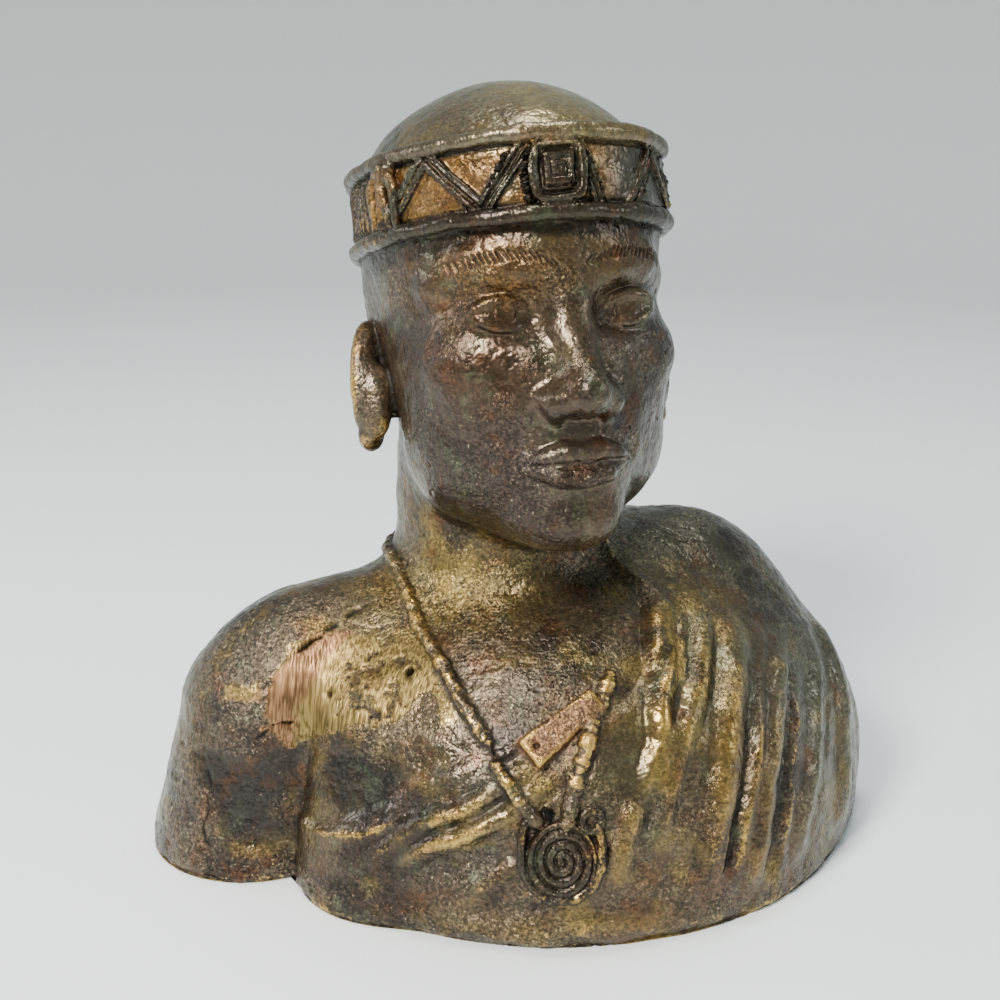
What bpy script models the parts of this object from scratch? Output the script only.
# A cast brass bust of a man in a patterned headband, with a cloth over his left shoulder.
# Metres, +Z up. The figure faces -Y and its own left side is +X.
# The origin is on the flat underside, below the middle of the casting.

import functools
import math

import bmesh
import bpy
import numpy as np
from mathutils import Euler, Matrix, Vector

# Driving sizes of the whole casting
BUST_HEIGHT = 0.330
CHEST_HALF_WIDTH = 0.133
CHEST_FRONT_DEPTH = 0.1225
CHEST_BACK_DEPTH = 0.088
HEAD_WIDTH = 0.123
HEAD_LEAN_BACK_DEG = 11.0
HEAD_TURN_DEG = 2.0
FOOT_TUCK = 0.0012

# Headband
BAND_HEIGHT = 0.0365
BAND_PROUD = 0.0055
BAND_LEAN_DEG = 4.0  # its front stands higher than its back, besides the lean of the head
RIM_RADIUS = 0.0034
ZIGZAG_BAR_WIDTH = 0.0034
ZIGZAG_RAISE = 0.0022
MEDALLION_WIDTH = 0.0245
MEDALLION_HEIGHT = 0.0250
MEDALLION_RAISE = 0.0040
MEDALLION_TURN_DEG = -5.0
KNOT_TURN_DEG = -68.0

# Cloth
CLOTH_THICKNESS = 0.0022
FOLD_RAISE = 0.0048
FOLD_WIDTH = 0.0078

# Necklace, pendant and toggle
STRAND_RADIUS = 0.0031
BEAD_PITCH = 0.0085
PENDANT_WIDTH = 0.034
PENDANT_HEIGHT = 0.039
PENDANT_THICKNESS = 0.0034
SPIRAL_PITCH = 0.0038
TOGGLE_LENGTH = 0.036
TOGGLE_WIDTH = 0.0110
TOGGLE_THICKNESS = 0.0040

# Fineness of the working surface and of the finished faceted solid
ROUGH_VOXEL = 0.0034
FINE_VOXEL = 0.0020
FACET_COUNT = 8950
SPARE_BELOW = 0.014  # modelled below the underside, then cut away

MM = 0.001
REFERENCE_HEIGHT = 0.330
SHARE = BUST_HEIGHT / REFERENCE_HEIGHT  # every free form below is drawn for the reference height


def ball(p, centre, radii):
    """Distance to an ellipsoid, close enough near its surface."""
    q = p - np.array(centre, float)
    r = np.array(radii, float)
    near = np.linalg.norm(q / r, axis=1)
    slope = np.linalg.norm(q / (r * r), axis=1) + 1e-9
    return near * (near - 1.0) / slope


def bar(p, start, end, start_radius, end_radius):
    """Distance to a round bar whose radius changes along it."""
    a, b = np.array(start, float), np.array(end, float)
    along = b - a
    t = np.clip((p - a) @ along / (along @ along), 0.0, 1.0)
    return np.linalg.norm(p - a - t[:, None] * along, axis=1) - (
        start_radius + (end_radius - start_radius) * t
    )


def chain(p, points, radii):
    """Distance to bars laid end to end through the points."""
    found = np.full(len(p), 1e3)
    for n in range(len(points) - 1):
        found = np.minimum(found, bar(p, points[n], points[n + 1], radii[n], radii[n + 1]))
    return found


def join(a, b, blend):
    """Two forms run together like clay, with a fillet of about that size."""
    h = np.clip(0.5 + 0.5 * (b - a) / blend, 0.0, 1.0)
    return b + (a - b) * h - blend * h * (1.0 - h)


def cut(a, b, blend):
    """The second form pressed out of the first."""
    return -join(-a, b, blend)


def step(value, low, high):
    """0 below low, 1 above high, smooth between them."""
    t = np.clip((value - low) / (high - low), 0.0, 1.0)
    return t * t * (3.0 - 2.0 * t)


def bent_chain(points, count):
    """Points along a smooth curve through the given ones."""
    pts = np.array(points, float)
    ends = np.vstack([2 * pts[0] - pts[1], pts, 2 * pts[-1] - pts[-2]])
    made = []
    for n in range(len(pts) - 1):
        a, b, c, d = ends[n : n + 4]
        for t in np.linspace(0.0, 1.0, count, endpoint=False):
            made.append(
                0.5
                * (
                    2 * b
                    + (c - a) * t
                    + (2 * a - 5 * b + 4 * c - d) * t * t
                    + (3 * b - a - 3 * c + d) * t**3
                )
            )
    made.append(pts[-1])
    return np.array(made)


# The head's own frame: x to the figure's left, y to its back, z up, with its centre inside the skull
HEAD_CENTRE = np.array([5.0, 2.0, 246.0]) * SHARE
HEAD_TURN = np.array(
    (
        Matrix.Rotation(math.radians(HEAD_TURN_DEG), 3, "Z")
        @ Matrix.Rotation(math.radians(-HEAD_LEAN_BACK_DEG), 3, "X")
    )
)
WIDE = HEAD_WIDTH / MM / 125.0  # widths in the head are drawn for a head 125 mm wide


def in_head(p):
    """Points in the head's frame, at the reference size."""
    q = (p - HEAD_CENTRE) @ HEAD_TURN / SHARE
    return q * np.array([SHARE / WIDE, 1.0, 1.0])


def bare_arm(p):
    """The stump of the right upper arm, at the reference size."""
    return bar(p, (-114, 8, -12), (-103, 9, 60), 48.5, 41)


def torso(p):
    """Chest, shoulders, arm stump, the draped arm and the neck, at the reference size."""
    x, y, z = p.T
    half = CHEST_HALF_WIDTH / MM / SHARE
    front = CHEST_FRONT_DEPTH / MM / SHARE
    back = CHEST_BACK_DEPTH / MM / SHARE
    depth = np.where(y < 0, front, back)
    crest, power = 130.0, 2.4
    plan = np.hypot((x - 30.0) / half, y / depth)
    chest = ((plan**power + np.abs(z / crest) ** power) ** (1.0 / power) - 1.0) * 0.85 * front
    chest = join(chest, bar(p, (-61, -47, -14), (-58, -28, 62), 41, 34), 9)
    body = join(chest, bare_arm(p), 6)
    body = join(body, ball(p, (102, -12, 20), (62, 64, 88)), 14)
    body = join(body, bar(p, (14, 8, 90), (-84, 8, 77), 42, 39), 14)
    body = join(body, bar(p, (14, 8, 92), (86, 2, 91), 43, 45), 14)
    body = join(body, ball(p, (-48, 46, 54), (54, 40, 50)), 16)
    body = join(body, ball(p, (70, 46, 66), (56, 42, 58)), 16)
    neck = bar(p, (4, 10, 96), (3, 9, 172), 49, 46)
    return join(body, neck, 16)


def skull_and_face(q):
    """The head without its band and ears. The face is a plain one, on the usual thirds and fifths."""
    x, y, z = q.T
    m = np.column_stack([np.abs(x), y, z])  # both halves are alike
    head = ball(q, (0, 2, 18), (62.5, 82, 66))
    head = join(head, ball(q, (0, 4, 41), (60, 77, 41.5)), 4)
    head = join(head, ball(q, (0, 18, -18), (58, 62, 54)), 10)
    head = join(head, ball(q, (0, -14, -34), (56, 58, 66)), 12)
    head = join(head, ball(q, (0, -30, -40), (50, 50, 68)), 12)
    head = join(head, ball(m, (32, -20, -68), (20, 30, 24)), 14)
    head = join(head, ball(q, (0, -58, -92), (22, 19, 15)), 12)
    head = join(head, ball(m, (34, -48, -30), (17, 17, 13)), 13)
    head = join(head, ball(q, (0, -56, -68), (25, 23, 21)), 10)
    brow = [(0, -72, 1), (16, -70.5, 5.5), (34, -61.5, 6.5), (47, -47, 0)]
    head = join(head, chain(m, brow, (6.5, 7, 6.5, 5)), 8)
    head = cut(head, ball(m, (26, -81, -12.5), (17, 13, 10)), 7)
    head = cut(head, ball(q, (0, -89, -83), (15, 8, 3)), 5)
    near = y < -40
    head[near] = face_features(q[near], m[near], head[near])
    return head


def eye_line(bow, inset, half=12.2, count=9):
    """One lid's edge, on a ball a little larger than the eye's, from the inner corner to the outer."""
    line = []
    for t in np.linspace(-1.0, 1.0, count):
        across = half * t
        up = bow * (1.0 - t * t) ** 0.8 + 1.1 * t
        out = math.sqrt(max((EYE_RADIUS + 1.0) ** 2 - across**2 - up**2, 1.0)) + inset
        line.append(EYE_CENTRE + np.array([across, -out, up]))
    return line


EYE_CENTRE = np.array([25.5, -56.5, -12.5])
EYE_RADIUS = 13.4


def face_features(q, m, head):
    """Eyes, nose and mouth."""
    head = join(head, ball(m, EYE_CENTRE, (EYE_RADIUS + 1.2, EYE_RADIUS + 0.6, EYE_RADIUS - 2.6)), 3.5)
    head = join(head, ball(m, EYE_CENTRE, (EYE_RADIUS + 0.4,) * 3), 1.0)
    for bow in (5.6, -4.4):
        head = join(head, chain(m, eye_line(bow, 0.0), [1.0] + [1.7] * 7 + [1.0]), 1.5)
    crease = eye_line(9.2, 0.2, 12.8)
    head = cut(head, chain(m, crease, [0.5] + [1.0] * 7 + [0.5]), 1.6)
    head = join(head, bar(q, (0, -69, -4), (0, -86, -40), 5.6, 7.4), 8)
    head = join(head, ball(q, (0, -88, -43.5), (9, 9.5, 8.4)), 6)
    head = join(head, ball(m, (10.4, -80.5, -46.5), (6.6, 9, 6.6)), 4)
    head = cut(head, ball(m, (5.8, -85, -54), (3.0, 5.0, 3.4)), 1.8)
    head = cut(head, chain(m, [(18, -80, -51), (24, -76, -59), (28, -71, -69)], (1.2, 1.6, 0.8)), 6)
    head = cut(head, bar(q, (0, -86.5, -56), (0, -87, -62), 1.2, 1.8), 3)
    upper = [(0, -81, -66), (7, -81.2, -65.2), (15, -78, -67), (21.5, -72.5, -69.5)]
    head = join(head, chain(m, upper, (3.8, 4.2, 3.2, 1.4)), 3)
    lower = [(0, -80.6, -74.6), (9, -79.4, -74.2), (20.5, -72, -70.6)]
    head = join(head, chain(m, lower, (5.0, 4.6, 1.6)), 3)
    mouth = [(0, -86.2, -70.2), (8, -85, -69.7), (16, -80, -70.2), (23, -73.2, -69.8)]
    return cut(head, chain(m, mouth, (1.1, 1.1, 1.0, 0.8)), 1.6)


def ear(q):
    """Both ears: a flared plate with a rolled edge, a hollow and a lobe."""
    side = np.abs(q[:, 0])
    m = np.column_stack([side, q[:, 1], q[:, 2]])
    centre = np.array([60.5, 9.0, -37.0])
    lean = np.array(Euler((math.radians(-8), 0, math.radians(24))).to_matrix())
    e = (m - centre) @ lean
    plate = ball(e, (0, 0, 0), (4.6, 15, 25))
    edge = []
    for t in np.linspace(-0.25, 1.22, 14):
        angle = math.pi * t
        edge.append((2.6, -13.2 * math.cos(angle), 22.8 * math.sin(angle)))
    rim = chain(e, edge, [2.9] * len(edge))
    both = join(plate, rim, 2.5)
    both = join(both, ball(e, (0.6, -5, -23), (4.4, 7, 6.5)), 3)
    both = cut(both, ball(e, (6.5, -1.5, -2), (5, 7.2, 12.5)), 2)
    return join(both, ball(e, (-4.5, -10, -9), (6.5, 6, 15)), 4)


def in_band(q):
    """Band coordinates: the way round from the front, the way out from its face, and the way up, in mm."""
    lean = math.radians(BAND_LEAN_DEG)
    y = q[:, 1] * math.cos(lean) - (q[:, 2] - 33.5) * math.sin(lean)
    z = q[:, 1] * math.sin(lean) + (q[:, 2] - 33.5) * math.cos(lean)
    wide, deep = 61.0 + BAND_PROUD / MM, 80.5 + BAND_PROUD / MM
    round_by = np.arctan2(q[:, 0] / wide, -y / deep)
    girth = np.hypot(wide * np.cos(round_by), deep * np.sin(round_by))
    away = np.hypot(q[:, 0] / wide, y / deep) - 1.0
    reach = np.hypot(wide * np.sin(round_by), deep * np.cos(round_by))
    return round_by, away * reach, z * SHARE, girth


def headband(q):
    """The band: a panel between two rolled rims, with its raised pattern and the tie at one side."""
    around, out, up, girth = in_band(q)
    half = BAND_HEIGHT / MM / 2
    rim = RIM_RADIUS / MM
    across = (around - math.radians(MEDALLION_TURN_DEG)) * girth
    boss = medallion(across, up)
    raised = np.where(boss > 0.3, boss, zigzag(around, up, half - 2 * rim))
    band = np.maximum(out + 2.6 - raised, np.abs(up) - half + 1.5)
    for side in (-1, 1):
        band = join(band, np.hypot(out + rim - 1.0, up - side * (half - rim)) - rim, 1.2)
    return join(band, band_knot(around, out, up, half), 1.2)


def ledge(distance, slope=1.1):
    """1 inside a flat-topped shape and 0 outside it, for a distance to its edge."""
    return step(-distance, -slope, slope)


# The double bars of the band's pattern, as degrees round from the front at their lower and their upper ends
BARS = (
    *((-67, -49), (-31, -49), (-31, -15), (10, 2), (25, 38), (56, 38), (56, 76), (96, 76), (96, 118)),
    *((140, 118), (140, 162), (184, 162), (184, 206), (228, 206), (228, 246)),
)


def zigzag(around, up, half):
    """Heights of the double bars that run up and down the band in turn."""
    width = ZIGZAG_BAR_WIDTH / MM
    share = np.clip((up + half) / (2 * half), 0.0, 1.0)
    off = np.full(len(up), 1e3)
    for low, high in BARS:
        middle = np.radians(low + (high - low) * share)
        turn = (around - middle + math.pi) % (2 * math.pi) - math.pi
        run = math.radians(high - low) * 70.0
        off = np.minimum(off, np.abs(turn) * 70.0 * 2 * half / math.hypot(run, 2 * half))
    bars = ledge(off - width) - 0.75 * ledge(off - 0.14 * width, 0.8)
    return bars * ZIGZAG_RAISE / MM


def medallion(across, up):
    """Heights of a round-shouldered boss with a sunk square on the front of the band."""
    wide, tall = MEDALLION_WIDTH / MM / 2, MEDALLION_HEIGHT / MM / 2
    boss = ((np.abs(across / wide) ** 3 + np.abs(up / tall) ** 3) ** (1 / 3) - 1.0) * wide
    square = np.maximum(np.abs(across) - 0.62 * wide, np.abs(up - 0.12 * tall) - 0.56 * tall)
    inner = np.maximum(np.abs(across) - 0.46 * wide, np.abs(up - 0.10 * tall) - 0.42 * tall)
    steps = ledge(boss, 0.9) - 0.6 * ledge(square, 0.7) + 0.5 * ledge(inner, 0.7)
    return steps * MEDALLION_RAISE / MM


def band_knot(around, out, up, half):
    """The tie on the figure's right: strands that hang over the band."""
    place = math.radians(KNOT_TURN_DEG)
    p = np.column_stack([(around - place) * 72.0, out, up])
    knot = np.full(len(p), 1e3)
    near = (np.abs(p[:, 0]) < 22) & (np.abs(out) < 14)
    q = p[near]
    found = ball(q, (1, -1.0, half - 8), (7, 4.4, 5))
    for n in range(4):
        x = -6.5 + 4.6 * n
        sway = 2.2 * math.sin(2.1 * n)
        hang = [(x * 0.4, -0.3, half - 8), (x + sway, 0.4, 3), (x - 0.4 * sway, -0.4, -half + 7)]
        found = join(found, chain(q, hang, (2.3, 2.5, 1.6)), 0.8)
    knot[near] = found
    return knot


def on_torso(spots):
    """Points on the bare torso, for places given as degrees round from the front and height in mm."""
    spots = np.array(spots, float)
    angle = np.radians(spots[:, 0])
    height = spots[:, 1] * SHARE
    way = np.column_stack([np.sin(angle), -np.cos(angle), np.zeros(len(angle))])
    low, high = np.zeros(len(angle)), np.full(len(angle), 190.0 * SHARE)
    for _ in range(24):
        middle = (low + high) / 2
        p = way * middle[:, None] + np.column_stack([0 * height, 0 * height, height])
        outside = torso(p / SHARE) > 0
        high = np.where(outside, middle, high)
        low = np.where(outside, low, middle)
    return way * low[:, None] + np.column_stack([0 * height, 0 * height, height])


@functools.cache
def line_on_torso(spots, count):
    """A smooth line over the torso through those places."""
    return bent_chain(on_torso(spots), count)


def along_chain(p, points):
    """Distance to a run of points, and how far along it the nearest place is, from 0 to 1."""
    best = np.full(len(p), 1e3)
    where = np.zeros(len(p))
    lengths = np.linalg.norm(np.diff(points, axis=0), axis=1)
    total = lengths.sum()
    done = 0.0
    for n, length in enumerate(lengths):
        a, way = points[n], (points[n + 1] - points[n]) / length
        t = np.clip((p - a) @ way, 0.0, length)
        away = np.linalg.norm(p - a - t[:, None] * way, axis=1)
        nearer = away < best
        best = np.where(nearer, away, best)
        where = np.where(nearer, (done + t) / total, where)
        done += length
    return best, where


# Folds of the cloth, each as degrees round from the front and height in mm, from its start to its end.
# The last two numbers are its share of the full width and of the full height, which is below 0 for a valley.
FOLDS = (
    (((44, 120), (38, 116), (31, 109), (27, 102), (24, 95), (21, 87), (19, 77), (13, 58)), 0.6, 1.0),
    (((13, 60), (10, 51), (8, 39), (7, 25)), 0.55, 0.6),
    (((49, 114), (43, 108), (37, 101), (32, 93), (27, 84), (22, 74), (18, 59), (15, 36)), 0.55, 0.7),
    (((54, 109), (48, 102), (42, 94), (37, 85), (33, 74), (30, 62), (26, 42), (24, 21)), 0.75, 0.85),
    (((46, 88), (40, 72), (37, 61), (34, 49), (32, 33), (30, 17)), 0.5, 0.4),
    (((61, 96), (52, 86), (46, 76), (42, 64), (38, 52), (36, 39), (34, 25), (32, 10)), 0.55, 0.75),
    (((69, 85), (60, 71), (54, 56), (49, 41), (45, 24), (43, 10)), 0.7, 0.5),
    (((84, 88), (74, 79), (69, 61), (64, 43), (62, 26), (60, 8)), 0.9, 0.55),
    (((100, 100), (90, 82), (82, 58), (78, 34), (75, 8)), 1.0, 0.55),
    (((122, 106), (108, 86), (98, 60), (93, 32), (90, 6)), 1.1, 0.55),
    (((138, 104), (126, 84), (116, 58), (110, 32), (106, 6)), 1.2, 0.5),
    (((42, 80), (39, 74), (36, 64), (32, 50), (29, 35), (27, 19)), 0.4, -0.5),
    (((56, 86), (49, 71), (44, 58), (41, 44), (38, 24), (36, 7)), 0.45, -0.45),
    (((-59, 31), (-51, 37), (-45, 42), (-39, 50), (-33, 59), (-27, 65), (-21, 70), (-14, 74)), 0.6, 0.3),
    (((-46, 26), (-41, 33), (-36, 41), (-31, 48), (-26, 52), (-22, 56), (-18, 61), (-15, 66)), 0.45, 0.65),
    (((-39, 28), (-34, 34), (-29, 40), (-24, 44), (-20, 49), (-16, 53), (-12, 57), (-10, 61)), 0.5, 0.6),
    (((-27, 46), (-20, 52), (-15, 58), (-12, 63)), 0.35, -0.5),
    (((-34, 25), (-28, 31), (-20, 37), (-14, 43)), 0.8, -0.35),
    (((-25, 14), (-24, 16), (-21, 20), (-19, 25), (-16, 30), (-13, 34), (-9, 36)), 0.45, 0.5),
    (((-10, 60), (-8, 63), (-5, 68), (-2, 71), (2, 77), (6, 84)), 0.42, 0.6),
    (((-38, 12), (-26, 9), (-12, 9), (0, 10), (10, 11), (22, 8)), 0.8, 0.35),
    (((150, 100), (166, 76), (-174, 50), (-150, 26)), 1.3, 0.6),
    (((134, 92), (152, 62), (174, 34), (-166, 10)), 1.3, 0.55),
    (((172, 106), (-172, 84), (-152, 62), (-128, 42)), 1.2, 0.6),
)
# The cloth's upper hem, from the left side of the neck down the chest, under the right arm and up the back
HEM = (
    *((60, 146), (46, 126), (38, 117), (25, 102), (14, 92), (6, 88), (0, 87), (-6, 83), (-16, 73)),
    *((-22, 66), (-29, 58), (-35, 51), (-46, 39), (-62, 31), (-84, 28), (-110, 34), (-135, 50)),
    *((-160, 80), (-178, 112), (165, 140)),
)


def cloth(p, d):
    """The cloth lies on the torso in a layer that ends at the hem, and its folds stand up from it."""
    angle = np.degrees(np.arctan2(p[:, 0], -p[:, 1]))
    height = p[:, 2] / SHARE
    hem = np.array(HEM, float)
    turned = (hem[:, 0] - 60.0) % -360.0 + 60.0  # the hem runs one way round, from 60 degrees down to -195
    place = (angle - 60.0) % -360.0 + 60.0
    edge = np.interp(-place, -turned, hem[:, 1])
    layer = step(edge - height, -2.0, 2.0)
    layer = layer * step(bare_arm(p / SHARE), 0.5, 4.0) * (p[:, 2] < 165 * SHARE)
    d = d - layer * CLOTH_THICKNESS / MM
    for spots, wide, high in FOLDS:
        line = line_on_torso(spots, 4)
        reach = 3.0 * wide * FOLD_WIDTH / MM
        near = ((p > line.min(0) - reach) & (p < line.max(0) + reach)).all(1)
        if not near.any():
            continue
        away, where = along_chain(p[near], line)
        share = away * MM / (wide * FOLD_WIDTH)
        body = np.exp(-(share**2)) - 0.25 * np.exp(-((2.0 * share - 3.0) ** 2))
        fade = step(where, -0.02, 0.2) * step(1.02 - where, 0.0, 0.22)
        d[near] -= np.where(away < reach, body, 0.0) * fade * high * FOLD_RAISE / MM
    return d


# Where the necklace lies, as degrees round from the front and height in mm
RIGHT_STRAND = (
    *((178, 131), (-160, 129), (-140, 127), (-118, 126), (-91, 127), (-80, 124), (-67, 118), (-52, 110)),
    *((-42, 106), (-33, 100), (-27, 93), (-22, 86), (-18, 79), (-15.5, 71), (-13, 65), (-11, 60), (-8, 53)),
)
LEFT_STRAND = ((13.5, 101), (9.9, 94), (6, 86), (3.4, 78), (0.9, 69), (-0.9, 60), (-1.8, 53))
PENDANT_PLACE = (-3.4, 40.0)
TOGGLE_PLACE = (-0.5, 86.0)
TOGGLE_SLOPE_DEG = 38.0


def lifted(points):
    """The points moved straight out from the bare torso onto the cloth over it."""
    points = np.array(points, float)
    probe = np.vstack([points] + [points + np.eye(3)[k] for k in range(3)])
    bare = torso(probe / SHARE).reshape(4, -1)
    out = (bare[1:] - bare[0]).T
    out /= np.linalg.norm(out, axis=1)[:, None]
    for _ in range(3):
        points = points - cloth(points, torso(points / SHARE) * SHARE)[:, None] * out
    return points


@functools.cache
def line_on_cloth(spots, count):
    """A smooth line through those places, laid over the cloth and its folds."""
    line = line_on_torso(spots, count)
    rise = lifted(line) - line
    for _ in range(count):
        rise[1:-1] = (rise[:-2] + 2.0 * rise[1:-1] + rise[2:]) / 4.0
    return line + rise


def strand(p, d, spots):
    """Adds a cord of beads pressed half into the chest."""
    near = np.nonzero(along_chain(p, line_on_torso(spots, 1))[0] < 14.0)[0]
    line = line_on_cloth(spots, 6)
    away, where = along_chain(p[near], line)
    length = np.linalg.norm(np.diff(line, axis=0), axis=1).sum()
    beads = where * length / (BEAD_PITCH / MM)
    swell = 0.86 + 0.2 * np.abs(np.sin(math.pi * beads))
    d[near] = join(d[near], away - swell * STRAND_RADIUS / MM, 0.9)
    return d


@functools.cache
def chest_frame(spot):
    """A point on the dressed chest, with the ways across, up and out there."""
    here, beside, above = on_torso((spot, (spot[0] + 5, spot[1]), (spot[0], spot[1] + 6)))
    across = (beside - here) / np.linalg.norm(beside - here)
    out = np.cross(across, above - here)
    out = out / np.linalg.norm(out)
    return lifted([here])[0], across, np.cross(out, across), out


def pendant(p):
    """A flat coil of wire in a drop-shaped surround, with a small eye at one shoulder."""
    here, across, up, out = chest_frame(PENDANT_PLACE)
    x, z, y = (p - here) @ across, (p - here) @ up, (p - here) @ out
    wide, tall = PENDANT_WIDTH / MM / 2, PENDANT_HEIGHT / MM / 2
    lift = PENDANT_THICKNESS / MM
    y = y + (x * x + z * z) / 260.0  # it is bent a little to the chest
    disc = np.maximum((np.hypot(x / wide, z / tall) - 1.0) * wide, y - 0.55 * lift)
    pitch = SPIRAL_PITCH / MM
    turn = np.arctan2(x, z) / (2 * math.pi)
    reach = np.hypot(x, (z - 1.5) * wide / tall)
    ring = np.abs((reach / pitch - turn) % 1.0 - 0.5) * pitch
    wire = np.hypot(np.maximum(ring, 0.0), y - 0.55 * lift) - 0.42 * pitch
    wire = np.maximum(wire, reach - wide + 0.2)
    eye = np.hypot(np.hypot(x - 0.86 * wide, z - 0.72 * tall) - 4.2, y - 1.2) - 1.6
    found = np.maximum(np.minimum(np.minimum(disc, wire), eye), -y - 9.0)
    return found


def toggle(p):
    """A flat bar laid slantwise across the chest, pierced near its lower end."""
    here, across, up, out = chest_frame(TOGGLE_PLACE)
    x, z, y = (p - here) @ across, (p - here) @ up, (p - here) @ out
    slope = math.radians(TOGGLE_SLOPE_DEG)
    along = x * math.cos(slope) + z * math.sin(slope)
    over = z * math.cos(slope) - x * math.sin(slope)
    long, wide, thick = TOGGLE_LENGTH / MM / 2, TOGGLE_WIDTH / MM / 2, TOGGLE_THICKNESS / MM
    taper = wide * (1.0 - 0.22 * np.clip(along / long, -1, 1))
    slab = np.maximum(np.abs(along) - long, np.abs(over) - taper)
    slab = np.maximum(slab, np.abs(y) - thick)
    hole = np.maximum(np.hypot(along + long - 4.2, over - 0.5) - 1.4, thick - 2.4 - y)
    return np.maximum(slab, -hole)


def bust(p):
    """The whole casting: distance in mm to its surface, for points in mm."""
    d = torso(p / SHARE) * SHARE
    d = cloth(p, d)
    ring = np.nonzero(p[:, 2] < 150 * SHARE)[0]
    d[ring] = strand(p[ring], d[ring], RIGHT_STRAND)
    q = p / SHARE
    front = np.nonzero((q[:, 1] < -20) & (q[:, 2] < 120) & (np.abs(q[:, 0]) < 60))[0]
    d[front] = strand(p[front], d[front], LEFT_STRAND)
    d[front] = join(d[front], toggle(p[front]), 0.7)
    d[front] = np.minimum(d[front], pendant(p[front]))
    high = p[:, 2] > 105 * SHARE
    q = in_head(p[high])
    head = skull_and_face(q) * SHARE
    ears = (np.abs(q[:, 0]) > 46) & (q[:, 2] < 10)
    head[ears] = join(head[ears], ear(q[ears]) * SHARE, 3.5)
    crown = q[:, 2] > 0
    head[crown] = join(head[crown], headband(q[crown]), 0.8)
    d[high] = join(d[high], head, 9)
    return np.maximum(d, -p[:, 2] - SPARE_BELOW / MM)


def block_out():
    """Rough lumps that fill about the right space, to be fused into one skin."""
    turn = Matrix([list(row) for row in HEAD_TURN]).to_4x4()
    head = Matrix.Translation(Vector(HEAD_CENTRE * MM)) @ turn
    wide = HEAD_WIDTH / 0.125
    body = (
        ((30, -16, 0), (126, 102, 122)),
        ((-108, 8, 0), (48, 48, 96)),
        ((102, -12, 14), (60, 62, 92)),
        ((-62, -44, 0), (42, 42, 84)),
        ((-60, 8, 76), (60, 38, 38)),
        ((70, 6, 88), (62, 42, 44)),
        ((4, 10, 130), (46, 46, 70)),
    )
    on_head = (
        ((0, 2, 20), (64, 82, 64)),
        ((0, -24, -36), (52, 54, 72)),
        ((0, -86, -42), (12, 14, 13)),
        ((64, 9, -35), (6, 14, 25)),
        ((-64, 9, -35), (6, 14, 25)),
        ((0, 0, 34), (67, 86, 18)),
    )
    bm = bmesh.new()
    for centre, radii in body:
        place = Matrix.Translation(Vector(centre) * SHARE * MM)
        size = Matrix.Diagonal([r * SHARE * MM for r in radii]).to_4x4()
        bmesh.ops.create_icosphere(bm, subdivisions=4, radius=1.0, matrix=place @ size)
    for centre, radii in on_head:
        x, y, z = radii
        size = Matrix.Diagonal([r * SHARE * MM for r in (x * wide, y, z)]).to_4x4()
        flare = math.radians(27) * ((centre[0] > 0) - (centre[0] < 0))
        where = Vector((centre[0] * wide, centre[1], centre[2])) * SHARE * MM
        place = head @ Matrix.Translation(where) @ Matrix.Rotation(flare, 4, "Z")
        bmesh.ops.create_icosphere(bm, subdivisions=4, radius=1.0, matrix=place @ size)
    slice_off(bm, -SPARE_BELOW)
    mesh = bpy.data.meshes.new("rough")
    bm.to_mesh(mesh)
    bm.free()
    return mesh


def evaluated(mesh, settings):
    """The mesh after one modifier with those settings."""
    helper = bpy.data.objects.new("helper", mesh)
    bpy.context.scene.collection.objects.link(helper)
    kind, values = settings
    modifier = helper.modifiers.new("work", kind)
    for name, value in values.items():
        setattr(modifier, name, value)
    graph = bpy.context.evaluated_depsgraph_get()
    made = bpy.data.meshes.new_from_object(helper.evaluated_get(graph))
    bpy.data.objects.remove(helper)
    return made


def reskin(mesh, voxel):
    """One new skin of even fineness over the lumps, with any pocket inside them dropped."""
    skin = evaluated(mesh, ("REMESH", {"mode": "VOXEL", "voxel_size": voxel}))
    bm = bmesh.new()
    bm.from_mesh(skin)
    bm.verts.ensure_lookup_table()
    # The outer skin is the piece that holds the topmost vertex.
    front = {max(bm.verts, key=lambda v: v.co.z)}
    outer = set(front)
    while front:
        front = {e.other_vert(v) for v in front for e in v.link_edges} - outer
        outer |= front
    bmesh.ops.delete(bm, geom=[v for v in bm.verts if v not in outer], context="VERTS")
    bm.to_mesh(skin)
    bm.free()
    return skin


def slice_off(bm, height):
    """Cuts away everything below that height and closes the cut with a flat face."""
    everything = bm.verts[:] + bm.edges[:] + bm.faces[:]
    bmesh.ops.bisect_plane(
        bm, geom=everything, plane_co=(0, 0, height), plane_no=(0, 0, -1), clear_outer=True
    )
    rim = [e for e in bm.edges if e.is_boundary]
    bmesh.ops.contextual_create(bm, geom=rim)
    bmesh.ops.triangulate(bm, faces=[f for f in bm.faces if len(f.verts) > 4])
    bm.normal_update()


def neighbour_mean(p, a, b, degree):
    """The middle of each vertex's neighbours."""
    count = len(p)
    mean = [np.bincount(a, p[b, k], count) + np.bincount(b, p[a, k], count) for k in range(3)]
    return np.column_stack(mean) / degree[:, None]


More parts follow.
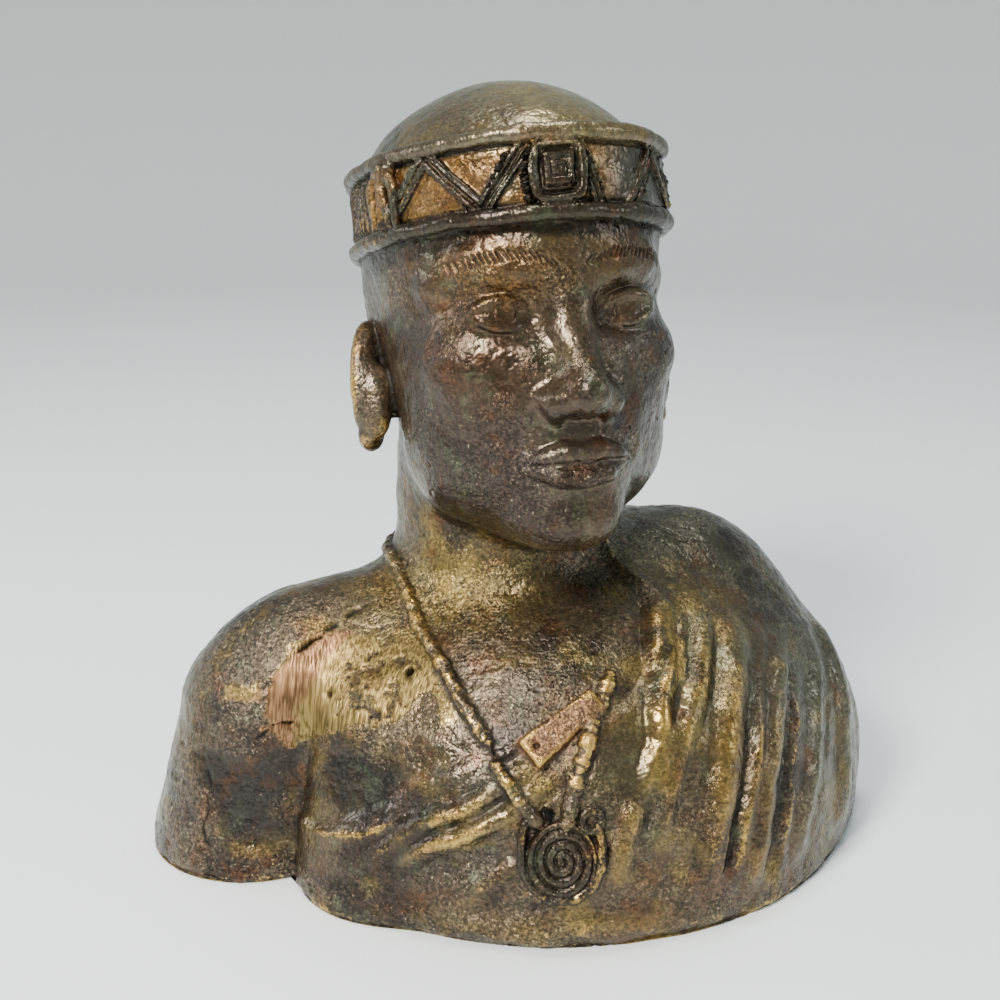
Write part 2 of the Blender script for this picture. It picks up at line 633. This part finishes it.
def settle(mesh, rounds, soften):
    """Moves every vertex onto the bust's surface with even spacing, then softens it by that share."""
    count = len(mesh.vertices)
    co = np.empty(count * 3, np.float32)
    mesh.vertices.foreach_get("co", co)
    p = co.reshape(-1, 3).astype(float) / MM
    edges = np.empty(len(mesh.edges) * 2, np.int32)
    mesh.edges.foreach_get("vertices", edges)
    a, b = edges.reshape(-1, 2).T
    degree = np.bincount(a, minlength=count) + np.bincount(b, minlength=count)
    for n in range(rounds):
        normal = np.empty(count * 3, np.float32)
        mesh.vertex_normals.foreach_get("vector", normal)
        normal = normal.reshape(-1, 3).astype(float)
        here = bust(p)
        slope = np.clip((bust(p + 0.4 * normal) - here) / 0.4, 0.35, 2.5)
        p += np.clip(-here / slope, -5.0, 5.0)[:, None] * normal
        if n < rounds - 1:
            ease = neighbour_mean(p, a, b, degree) - p
            ease -= (ease * normal).sum(1)[:, None] * normal
            p += 0.5 * ease
        mesh.vertices.foreach_set("co", (p * MM).astype(np.float32).ravel())
        mesh.update()
    p += soften * (neighbour_mean(p, a, b, degree) - p)
    mesh.vertices.foreach_set("co", (p * MM).astype(np.float32).ravel())
    mesh.update()


def foot(mesh):
    """Tucks the lower edge in a little, cuts the underside flat and centres it on the origin."""
    bm = bmesh.new()
    bm.from_mesh(mesh)
    depth = 1.6 * FOOT_TUCK
    for v in bm.verts:
        if v.co.z < depth:
            inward = FOOT_TUCK * min(1.0, (depth - v.co.z) / depth) ** 2
            flat = Vector((v.co.x, v.co.y, 0.0))
            v.co -= flat.normalized() * inward
    slice_off(bm, 0.0)
    low = [min(v.co[k] for v in bm.verts) for k in range(2)]
    high = [max(v.co[k] for v in bm.verts) for k in range(2)]
    middle = Vector(((low[0] + high[0]) / 2, (low[1] + high[1]) / 2, 0.0))
    bmesh.ops.translate(bm, verts=bm.verts, vec=-middle)
    bm.to_mesh(mesh)
    bm.free()


def brass():
    material = bpy.data.materials.new("aged brass")
    material.use_nodes = True
    shader = material.node_tree.nodes["Principled BSDF"]
    shader.inputs["Base Color"].default_value = (0.115, 0.085, 0.045, 1.0)
    shader.inputs["Roughness"].default_value = 0.42
    shader.inputs["Metallic"].default_value = 0.9
    return material


def main():
    for old in list(bpy.data.objects):
        bpy.data.objects.remove(old)
    skin = reskin(block_out(), ROUGH_VOXEL)
    settle(skin, 5, 0.5)
    skin = reskin(skin, FINE_VOXEL)
    settle(skin, 3, 0.35)
    faces = sum(len(f.vertices) - 2 for f in skin.polygons)
    foot_share = 1.12  # the underside is cut away after thinning
    skin = evaluated(skin, ("DECIMATE", {"ratio": foot_share * FACET_COUNT / faces}))
    foot(skin)
    skin.shade_smooth()
    skin.set_sharp_from_angle(angle=math.radians(50))
    skin.materials.append(brass())
    node = bpy.data.objects.new("bust", skin)
    bpy.context.scene.collection.objects.link(node)


main()
